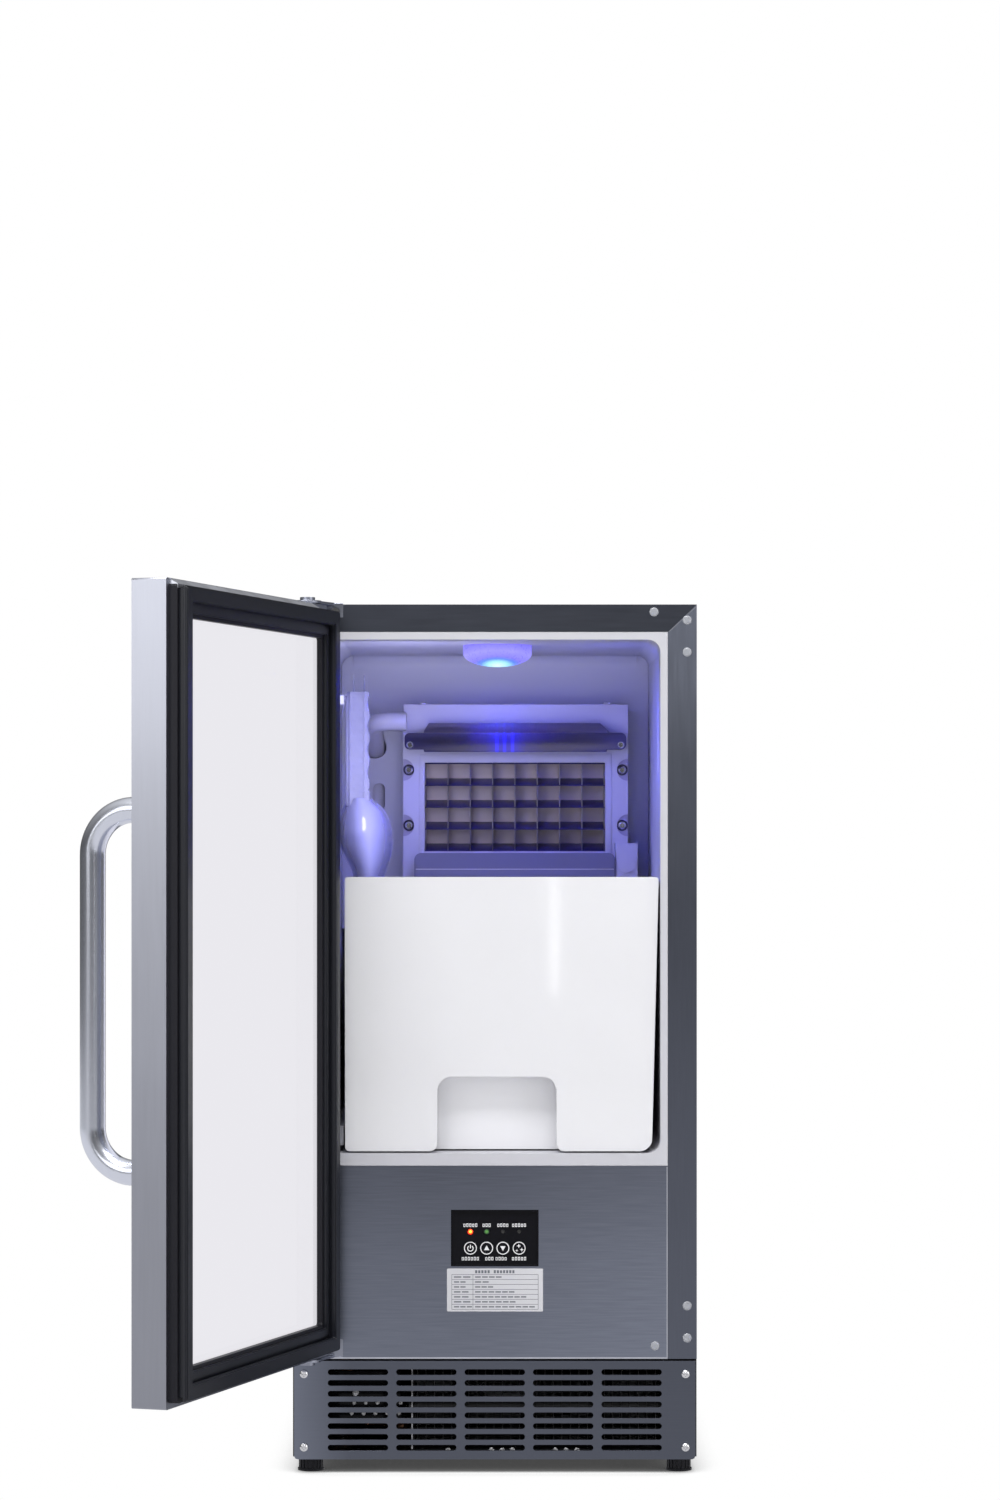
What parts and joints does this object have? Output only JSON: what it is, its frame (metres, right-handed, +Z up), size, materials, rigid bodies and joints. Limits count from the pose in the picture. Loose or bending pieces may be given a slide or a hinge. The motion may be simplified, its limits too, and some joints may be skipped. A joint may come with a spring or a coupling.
{
  "type": "built-in ice maker",
  "caption": "Undercounter clear-ice maker with an open glass door, copper ice grid, sliding ice bin, push-button panel, toe grille and levelling feet.",
  "frame": {"origin": "on the floor, midway across the cabinet, in the plane of the cabinet's front face", "axes": "+X to the right seen from the front, +Y into the cabinet towards its back, +Z up"},
  "size_m": [0.5418, 0.9573, 0.8175],
  "materials": {
    "dark_steel": "brushed, dark grey",
    "door_steel": "brushed satin",
    "zinc_steel": "zinc plated",
    "wrapper_paint": "dark grey paint",
    "white_plastic": "gloss white",
    "foam": "cream rigid foam",
    "black_gloss": "gloss black",
    "black_plastic": "fine grain black",
    "black_rubber": "matt",
    "gasket_rubber": "satin dark grey",
    "circuit_board": "green solder mask",
    "indicator_lens": "lit amber",
    "label": "satin printed",
    "lamp_diffuser": "milky blue-white",
    "grid_metal": "nickel plated copper",
    "copper": "drawn copper",
    "cover_steel": "polished grey",
    "clear_plastic": "translucent",
    "black_enamel": "black enamel",
    "grey_plastic": "matt grey",
    "glass": "clear",
    "spacer_aluminium": "anodised",
    "polished_steel": "polished"
  },
  "bodies": {
    "cabinet": {"base_pan": "zinc_steel", "outer_wrapper": "wrapper_paint", "back_panel": "zinc_steel", "frame_top": "dark_steel", "frame_left": "dark_steel", "frame_right": "dark_steel", "lower_front_panel": "dark_steel", "toe_grille": "dark_steel", "pan_screws": "zinc_steel", "hole_plugs": "white_plastic", "liner": "white_plastic", "insulation": "foam", "hinge_upper": "zinc_steel", "hinge_lower": "zinc_steel", "hinge_pins": "zinc_steel", "hinge_screws": "zinc_steel", "control_bezel": "black_gloss", "control_board": "circuit_board", "indicator_lenses": "indicator_lens", "info_label": "label", "lamp_lens": "lamp_diffuser", "lamp_board": "circuit_board", "bulkhead": "white_plastic", "evaporator_housing": "white_plastic", "evaporator_grid": "grid_metal", "evaporator_coil": "copper", "distributor_cover": "cover_steel", "water_hoses": "white_plastic", "water_sump": "white_plastic", "circulation_pump": "grey_plastic", "thermostat_bracket": "white_plastic", "scoop_hook": "white_plastic", "compressor": "black_enamel", "compressor_mounts": "black_rubber", "condenser": "black_enamel", "fan_shroud": "grey_plastic", "fan_motor": "zinc_steel", "refrigerant_lines": "copper", "electrical_box": "zinc_steel", "water_valve": "white_plastic", "drain_outlet": "grey_plastic", "cord_gland": "black_plastic"},
    "door": {"door_pan": "door_steel", "door_inner_frame": "black_plastic", "door_gasket": "gasket_rubber", "door_glass": "glass", "glass_spacer": "spacer_aluminium", "door_hinge_blocks": "zinc_steel", "door_handle": "polished_steel"},
    "ice_bin": {"ice_bin": "white_plastic"},
    "scoop": {"scoop": "clear_plastic"},
    "fan": {"fan_blade": "grey_plastic"},
    "foot_front_left": {"foot_front_left": "black_plastic"},
    "foot_front_right": {"foot_front_right": "black_plastic"},
    "foot_rear_left": {"foot_rear_left": "black_plastic"},
    "foot_rear_right": {"foot_rear_right": "black_plastic"},
    "button_power": {"button_power": "black_gloss"},
    "button_size_up": {"button_size_up": "black_gloss"},
    "button_size_down": {"button_size_down": "black_gloss"},
    "button_clean": {"button_clean": "black_gloss"}
  },
  "joints": [
    {"name": "door_hinge", "type": "hinge", "parent": "cabinet", "child": "door", "pos_m": [-0.1736, -0.0308, 0.46], "axis": [0, 0, -1], "range_deg": [-108.26, 7]},
    {"name": "bin_slide", "type": "slide", "parent": "cabinet", "child": "ice_bin", "axis": [0, -1, 0], "range_m": [0, 0.33]},
    {"name": "scoop_lift", "type": "slide", "parent": "cabinet", "child": "scoop", "axis": [0, 0, 1], "range_m": [0, 0.03]},
    {"name": "fan_spin", "type": "hinge", "parent": "cabinet", "child": "fan", "pos_m": [0.046, 0.1, 0.138], "axis": [0, 1, 0], "continuous": true},
    {"name": "button_power_press", "type": "slide", "parent": "cabinet", "child": "button_power", "axis": [0, 1, 0], "range_m": [0, 0.0006], "stiffness_N_per_m": 400},
    {"name": "button_size_up_press", "type": "slide", "parent": "cabinet", "child": "button_size_up", "axis": [0, 1, 0], "range_m": [0, 0.0006], "stiffness_N_per_m": 400},
    {"name": "button_size_down_press", "type": "slide", "parent": "cabinet", "child": "button_size_down", "axis": [0, 1, 0], "range_m": [0, 0.0006], "stiffness_N_per_m": 400},
    {"name": "button_clean_press", "type": "slide", "parent": "cabinet", "child": "button_clean", "axis": [0, 1, 0], "range_m": [0, 0.0006], "stiffness_N_per_m": 400},
    {"name": "foot_front_left_screw", "type": "slide", "parent": "cabinet", "child": "foot_front_left", "axis": [0, 0, -1], "range_m": [0, 0.02]},
    {"name": "foot_front_right_screw", "type": "slide", "parent": "cabinet", "child": "foot_front_right", "axis": [0, 0, -1], "range_m": [0, 0.02]},
    {"name": "foot_rear_left_screw", "type": "slide", "parent": "cabinet", "child": "foot_rear_left", "axis": [0, 0, -1], "range_m": [0, 0.02]},
    {"name": "foot_rear_right_screw", "type": "slide", "parent": "cabinet", "child": "foot_rear_right", "axis": [0, 0, -1], "range_m": [0, 0.02]}
  ]
}
